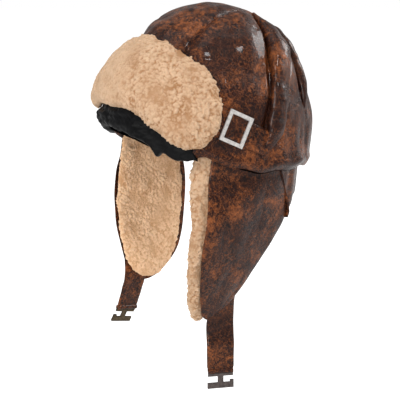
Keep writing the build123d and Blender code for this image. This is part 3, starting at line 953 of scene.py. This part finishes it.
def front_band():
    """The black satin turned out under the front flap, wrinkled, with one puckered fold."""
    columns, rows = 280, 44
    degrees = np.linspace(-57, 47.5, columns)
    angles = np.radians(degrees)
    rim = settle_rim(angles, 0.0, 30.0)
    rim -= np.interp(degrees, *TEMPLE_PULL.T, left=0, right=0)
    round_it = np.linspace(0, 1, rows)
    section = smooth_curve(BAND_SECTION, round_it)
    out, lift = section[None, :, 0], section[None, :, 1]
    line = np.stack([degrees, 0 * angles, 0 * angles], -1)
    pucker = 4.6 * bump(degrees - 26.5, 1.7) - 2.2 * bump(degrees - 31, 2.4)
    droop = 1.3 * waves(line, 9, 61, 3) + pucker
    left_end = 1 - 0.92 * step((degrees - 41.5) / 6)
    right_end = 1 - 0.9 * step((-48 - degrees) / 9)
    z = rim[:, None] + 2.0 + (lift - 2.0) * (left_end * right_end)[:, None]
    z = z - droop[:, None] * (1 - step(lift / 12))
    face = crown_at(angles[:, None], z, 0.0)
    normals = crown_normal(face)
    wrinkle = 1.1 * waves(face * (1, 1, 2.4), 12, 62, 3)
    shown = step((round_it - 0.2) / 0.35)[None]
    flare = 6.5 * bump(degrees + 44, 24)[:, None] * (1 - step((lift - 4) / 15))
    outer = face + normals * (out + flare + wrinkle * shown)[..., None]
    band = pad_object("front_band_satin", outer - normals * 0.9, outer, SATIN)
    wear(band, "crown", "satin", "front_facing_band")


# ---- lining ----

QUILT_PITCH = 32.0


def lining():
    """The quilted satin inside the crown, in a centre strip and two sides."""
    columns, rows = 300, 110
    angles = np.linspace(-math.pi, math.pi, columns, endpoint=False)
    # The edge turns out into a black lip under the leather's hem: the lining's turned edge, and also a
    # painted shadow line there. It is tucked up behind the front band.
    rim = settle_rim(angles, LINING_OFFSET) - 1.7 + 5.7 * step((72 - np.abs(np.degrees(angles))) / 16)
    z = dome_heights(rim, RISE + LINING_OFFSET, np.linspace(0, 1, rows), 0.01)
    face = crown_at(angles[:, None], z, LINING_OFFSET)
    normals = crown_normal(face)
    slant = 0.9 * np.degrees(angles)[:, None]
    one = np.sin((face[..., 2] + slant) * math.pi / QUILT_PITCH)
    two = np.sin((face[..., 2] - slant) * math.pi / QUILT_PITCH)
    quilt = np.minimum(np.abs(one), np.abs(two)) ** 0.5
    face = face - normals * (1.4 * quilt + 0.3 * waves(face, 12, 71, 2))[..., None]
    # The black lip out under the hem: the lining's turned edge, and a painted shadow under the leather.
    turned_edge_and_shadow = face[:, :1] + 7.2 * normals[:, :1]
    face = np.concatenate([turned_edge_and_shadow, face], axis=1)
    rows += 1
    quads = np.array(grid_faces(columns, rows, wrap=True, flip=True))
    points = face.reshape(-1, 3)
    middle = points[quads].mean(1)
    strip = strip_distance(middle) < 0
    left = middle[:, 0] > 0
    for name, chosen in (("centre", strip), ("left", ~strip & left), ("right", ~strip & ~left)):
        used, index = np.unique(quads[chosen], return_inverse=True)
        faces = index.reshape(-1, 4).tolist()
        piece = mesh_object("crown_lining_satin_" + name, points[used], faces, SATIN)
        wear(piece, "crown", "satin", "crown_lining_" + name, "crown_padding_" + name)


# ---- straps ----

# The side strap's middle (how far back, height), the way it runs, and its section across it and out.
STRAP_MIDDLE = (-43.0, 48.4)
STRAP_RUN = (0.367, 0.827, -0.43)
STRAP_SECTION = [
    (-11.5, -1.0), (-11.9, 1.2), (-10.9, 2.6), (-6, 2.75), (0, 2.8), (6, 2.75), (10.9, 2.6), (11.9, 1.2),
    (11.5, -1.0),
]


def side_straps():
    """The strap that runs through each buckle, from under the front flap back to the side seam."""
    centre = crown_side(*np.array(STRAP_MIDDLE))
    normal = crown_normal(centre)
    run = np.array(STRAP_RUN)
    run = unit(run - normal * (run @ normal))
    across_way = np.cross(normal, run)
    along = np.linspace(-36, 44, 90)
    section = smooth_curve(STRAP_SECTION, np.linspace(0, 1, 28))
    target = centre + along[:, None, None] * run + section[None, :, :1] * across_way
    on = crown_side(target[..., 1], target[..., 2])
    out = section[None, :, 1]
    lift = np.clip(crown_relief(on) * 0.8, -0.5, 0.7)
    dent = 0.35 * waves(on, 11, 81, 2) + 0.5 * bump(along, 3.0)[:, None]
    grid = on + crown_normal(on) * (lift + out + 0.25 + dent * (out > 1))[..., None]
    for which, shown in (("left", grid), ("right", mirror_grid(grid))):
        faces = grid_faces(*shown.shape[:2], flip=which == "right")
        strap = mesh_object("side_strap_" + which + "_leather", shown, faces, LEATHER)
        wear(strap, "crown", "leather", "side_strap_" + which)


# Each chin strap: its side, where it leaves the flap, its hook's bar, how far it turns on the way in
# degrees, how far behind its top it is sewn in, its half width, and the points that it hangs through.
STRAPS = {
    "left": {"side": 1, "top": (58.0, -31.5, -155.0), "bar": (66.0, -37.5, -213.0), "turn": 30.0,
             "root": 2.0, "wide": 14.3,
             "hang": [(63.0, -30.5, -135.0), (58.5, -31.5, -155.0), (62.0, -34.5, -184.0)]},
    "right": {"side": -1, "top": (-58.0, -58.0, -155.0), "bar": (-64.0, -67.5, -179.0), "turn": 0.0,
              "root": 8.0, "wide": 14.0, "hang": [(-60.5, -56.5, -141.0), (-61.3, -60.6, -155.0)]},
}
STRAP_ROOT_Z = -114.0
# The ribbon's section, once round: across it as a share of its half width, and out.
RIBBON_SECTION = [
    (0, 1.15), (0.9, 1.2), (0.985, 0.75), (0.985, -0.75), (0.9, -1.2), (0, -1.15), (-0.9, -1.2),
    (-0.985, -0.75), (-0.985, 0.75), (-0.9, 1.2), (0, 1.15),
]
LOOP_HALF = 13.4
LOOP_RADIUS = 2.7


def strap_path(strap, bar, steps):
    """The strap's middle line, and at each point of it the way down, the way across and the way out."""
    root_y = strap["top"][1] + strap["root"]
    root_x = strap["side"] * (float(ear_flap_x(root_y, np.array(STRAP_ROOT_Z))) - 3.5)
    path = smooth_curve([(root_x, root_y, STRAP_ROOT_Z), *strap["hang"], bar], np.linspace(0, 1, steps))
    down = unit(np.gradient(path, axis=0))
    gone = np.clip((path[:, 2] - STRAP_ROOT_Z) / (bar[2] - STRAP_ROOT_Z), 0, 1)
    turn = np.radians(strap["turn"]) * step((gone - 0.15) / 0.45)
    wide = np.stack([np.sin(turn), np.cos(turn), 0 * turn], -1) * strap["side"]
    wide = unit(wide - down * (wide * down).sum(1)[:, None])
    return path, down, wide, np.cross(wide, -down)


def strap_loop(which, bar, down, wide, out):
    """The leather sewn round the hook's bar at the strap's end."""
    around, along = 24, 26
    turn = np.linspace(0, 2 * math.pi, around, endpoint=False)[:, None, None]
    across = np.linspace(-LOOP_HALF, LOOP_HALF, along)[None, :, None]
    ring = bar + wide * across + out * (LOOP_RADIUS * np.cos(turn)) - down * (LOOP_RADIUS * np.sin(turn))
    faces = grid_faces(around, along, wrap=True)
    faces += [[i * along for i in range(around - 1, -1, -1)], [i * along + along - 1 for i in range(around)]]
    loop = mesh_object(which + "_chin_strap_loop", ring, faces, LEATHER)
    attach(loop, which + "_chin_strap")


def chin_straps():
    """Each strap from between its flap's leather and fleece down to the loop round its hook's bar."""
    steps, around = 110, 44
    for which, strap in STRAPS.items():
        top, bar = np.array(strap["top"]), np.array(strap["bar"])
        length = np.linalg.norm(top - bar)
        path, down, wide, out = strap_path(strap, bar, steps)
        left_over = np.linalg.norm(path - bar, axis=1)
        half = np.interp(
            left_over,
            [0, 3.2, 4.6, length, 120],
            [LOOP_HALF, LOOP_HALF, 0.97 * strap["wide"], strap["wide"], strap["wide"]],
        )
        section = smooth_curve(RIBBON_SECTION, np.linspace(0, 1, around, endpoint=False))
        ripple = 0.5 * waves(path, 14, 91, 2) * step((left_over - 10) / 10)
        grid = (
            path[:, None]
            + wide[:, None] * (section[None, :, :1] * half[:, None, None])
            + out[:, None] * (section[None, :, 1:] + ripple[:, None, None])
        )
        faces = grid_faces(steps, around)
        seam = [i * around for i in range(steps)]
        faces += [[a + around - 1, b + around - 1, b, a] for a, b in zip(seam, seam[1:])]
        faces += [list(range(around - 1, -1, -1)), list(range((steps - 1) * around, steps * around))]
        ribbon = mesh_object(which + "_chin_strap_leather", grid, faces, LEATHER)
        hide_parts(which + "_chin_strap", which + "_strap_anchor")
        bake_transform(ribbon)
        strap_loop(which, bar, down[-1], wide[-1], out[-1])


METALS = {"buckle_left": NICKEL, "buckle_right": NICKEL, "left_hook": GUNMETAL, "right_hook": BRASS}
METAL_EDGE = 0.0006


def metal_parts():
    """The buckles and hooks, as in the solids, with softened edges."""
    for node, material in METALS.items():
        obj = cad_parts[node]
        obj.data.materials.clear()
        obj.data.materials.append(material)
        modifier = obj.modifiers.new("soft_edges", "BEVEL")
        modifier.width = METAL_EDGE
        modifier.segments = 3
        modifier.limit_method = "ANGLE"


# ---- stage ----

FLOOR_Z = -0.32
FLOOR_HALF = 60.0
WORLD_LIGHT = 0.38
BACKDROP_LIGHT = 1.0
FLOOR_GLOW = 0.30
FLOOR_SHOWN = 0.86
# Name, place, power and size of each lamp.
LAMPS = (
    ("key", (0.25, -1.8, 1.2), 20, 0.7),
    ("spark", (0.85, -0.45, 1.25), 6, 0.22),
    ("fill", (1.35, -1.5, -0.05), 17, 0.7),
    ("rim", (0.45, 1.7, 1.0), 32, 0.9),
    ("top", (0.0, -0.2, 2.2), 7, 1.2),
)
LAMP_AIM = (0, 0, -0.03)
CAMERA_AZIMUTH = math.radians(50)
CAMERA_ELEVATION = math.radians(17)
CAMERA_DISTANCE = 0.700
CAMERA_AIM = (-0.00508, -0.00605, -0.048)
SENSOR_WIDTH = 36.0
FOCAL_LENGTH = 57.78


def link(obj):
    bpy.context.scene.collection.objects.link(obj)
    return obj


def turn_to(obj, direction):
    """Turn a lamp or the camera to look along a direction."""
    obj.rotation_mode = "QUATERNION"
    obj.rotation_quaternion = direction.to_track_quat("-Z", "Y")


def camera_only(tree, low, high):
    """A value that is high for what the camera sees directly, and low for the light it gives."""
    ray = tree.nodes.new("ShaderNodeLightPath").outputs["Is Camera Ray"]
    choice = tree.nodes.new("ShaderNodeMapRange")
    choice.inputs["To Min"].default_value = low
    choice.inputs["To Max"].default_value = high
    tree.links.new(ray, choice.inputs["Value"])
    return choice.outputs["Result"]


def floor():
    """A wide pale floor that looks almost white and gives little light."""
    n = Nodes("pale_floor")
    pale = n.ramp(n.noise(4.0, 3.0), [(0.3, 0.50), (0.7, 0.54)])
    n.finish(pale, 0.95, Emission_Color=(1, 1, 1, 1), Specular_IOR_Level=0.0)
    n.feed(n.shader.inputs["Emission Strength"], camera_only(n.tree, FLOOR_GLOW, FLOOR_SHOWN))
    corners = [(x * FLOOR_HALF, y * FLOOR_HALF, FLOOR_Z) for x, y in ((-1, -1), (1, -1), (1, 1), (-1, 1))]
    mesh = bpy.data.meshes.new("floor")
    mesh.from_pydata(corners, [], [(0, 1, 2, 3)])
    mesh.materials.append(n.material)
    link(bpy.data.objects.new("floor", mesh))


def stage():
    """A white studio: pale floor, even white surroundings and five lamps."""
    floor()
    world = bpy.data.worlds.new("studio")
    world.use_nodes = True
    background = world.node_tree.nodes["Background"]
    background.inputs["Color"].default_value = (1, 1, 1, 1)
    strength = camera_only(world.node_tree, WORLD_LIGHT, BACKDROP_LIGHT)
    world.node_tree.links.new(strength, background.inputs["Strength"])
    bpy.context.scene.world = world
    bpy.context.scene.view_settings.view_transform = "Standard"
    for name, place, power, size in LAMPS:
        lamp = bpy.data.lights.new(name, "AREA")
        lamp.energy = power
        lamp.size = size
        obj = link(bpy.data.objects.new(name, lamp))
        obj.location = place
        turn_to(obj, Vector(LAMP_AIM) - Vector(place))


def camera():
    """The photograph's view: from the hat's front left, a little above."""
    level = math.cos(CAMERA_ELEVATION)
    back = Vector((
        math.sin(CAMERA_AZIMUTH) * level,
        -math.cos(CAMERA_AZIMUTH) * level,
        math.sin(CAMERA_ELEVATION),
    ))
    data = bpy.data.cameras.new("camera")
    data.sensor_width = SENSOR_WIDTH
    data.lens = FOCAL_LENGTH
    data.clip_start = 0.01
    obj = link(bpy.data.objects.new("camera", data))
    obj.location = Vector(CAMERA_AIM) + back * CAMERA_DISTANCE
    turn_to(obj, -back)
    bpy.context.scene.camera = obj


crown_panels()
seam_rolls("side_seam_roll", SIDE_SEAM, 18.0, 1.5, 1.35, 34.0, 15)
seam_rolls("back_seam_roll", BACK_SEAM, 48.0, 0.9, 1.0, 26.0, 17)
ear_flaps()
neck_flap()
front_flap()
front_band()
lining()
side_straps()
chin_straps()
metal_parts()
stage()
camera()
